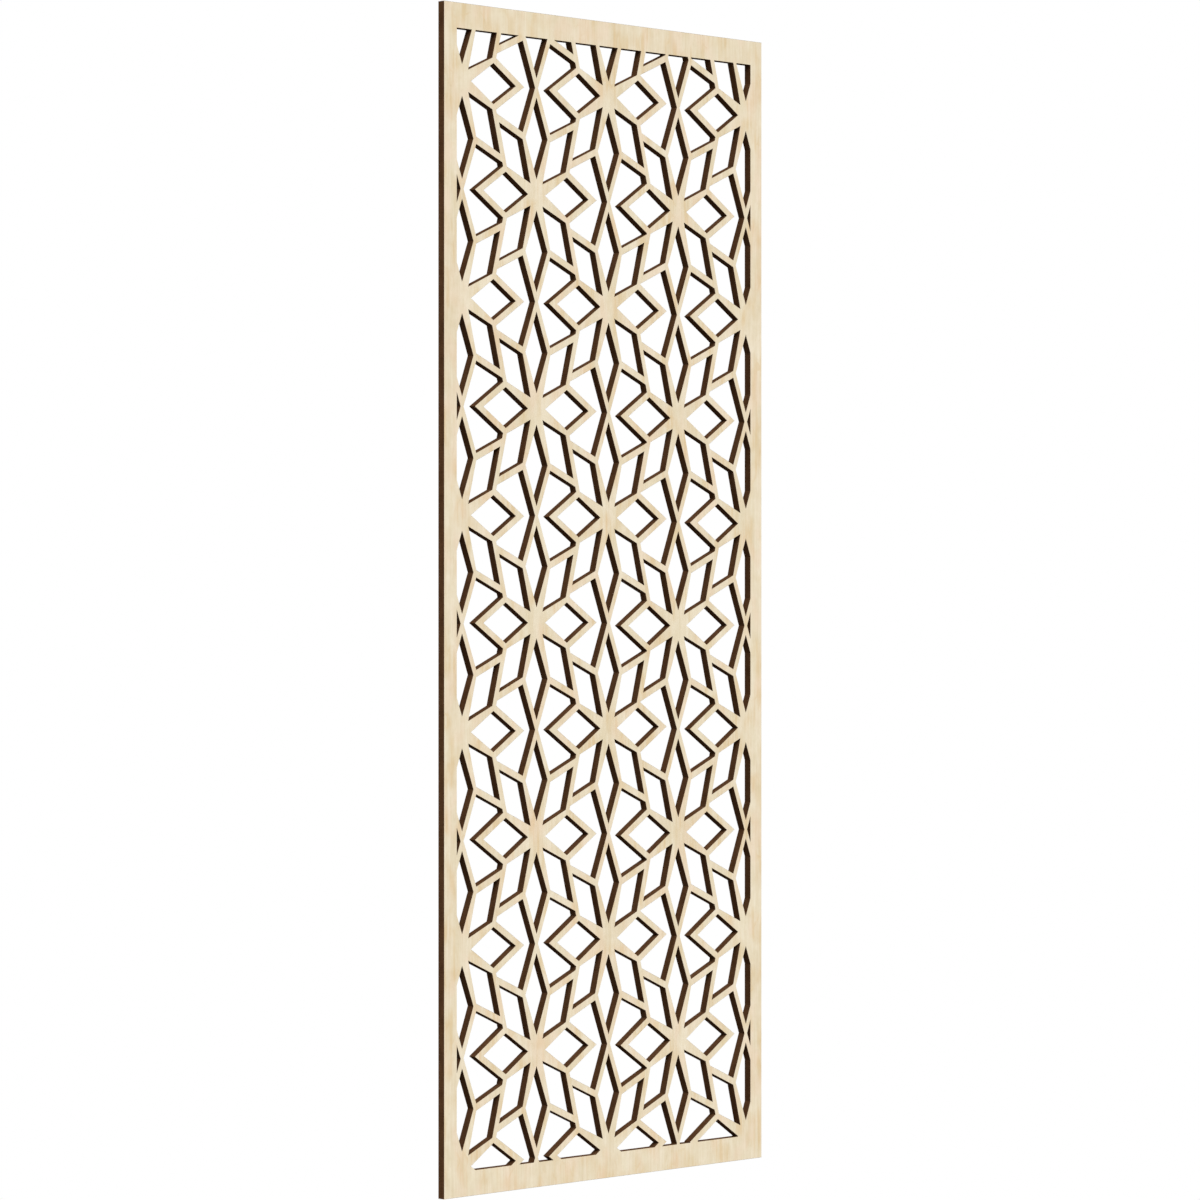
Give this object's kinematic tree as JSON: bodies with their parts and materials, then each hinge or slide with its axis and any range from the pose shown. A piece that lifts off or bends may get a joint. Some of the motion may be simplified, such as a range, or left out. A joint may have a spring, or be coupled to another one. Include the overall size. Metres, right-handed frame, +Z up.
{
  "type": "fretwork wall panel",
  "caption": "Thin upright wall panel, cut through with a lattice of long-petalled stars and dart-shaped windows inside a plain margin, in pale veneered sheet with dark cut edges.",
  "frame": {"origin": "on the flat back face, at the middle of the top rail, half a rail width below the top edge", "axes": "+Z up along the panel's height, +X to the right as seen from the front, +Y into the wall; the front face looks along -Y"},
  "size_m": [0.3556, 0.0063, 0.9144],
  "materials": {
    "birch_veneer": "bare sanded veneer, pale, with the grain upright; cut edges scorched dark brown"
  },
  "bodies": {
    "root": {"fretwork_panel": "birch_veneer"}
  },
  "joints": []
}
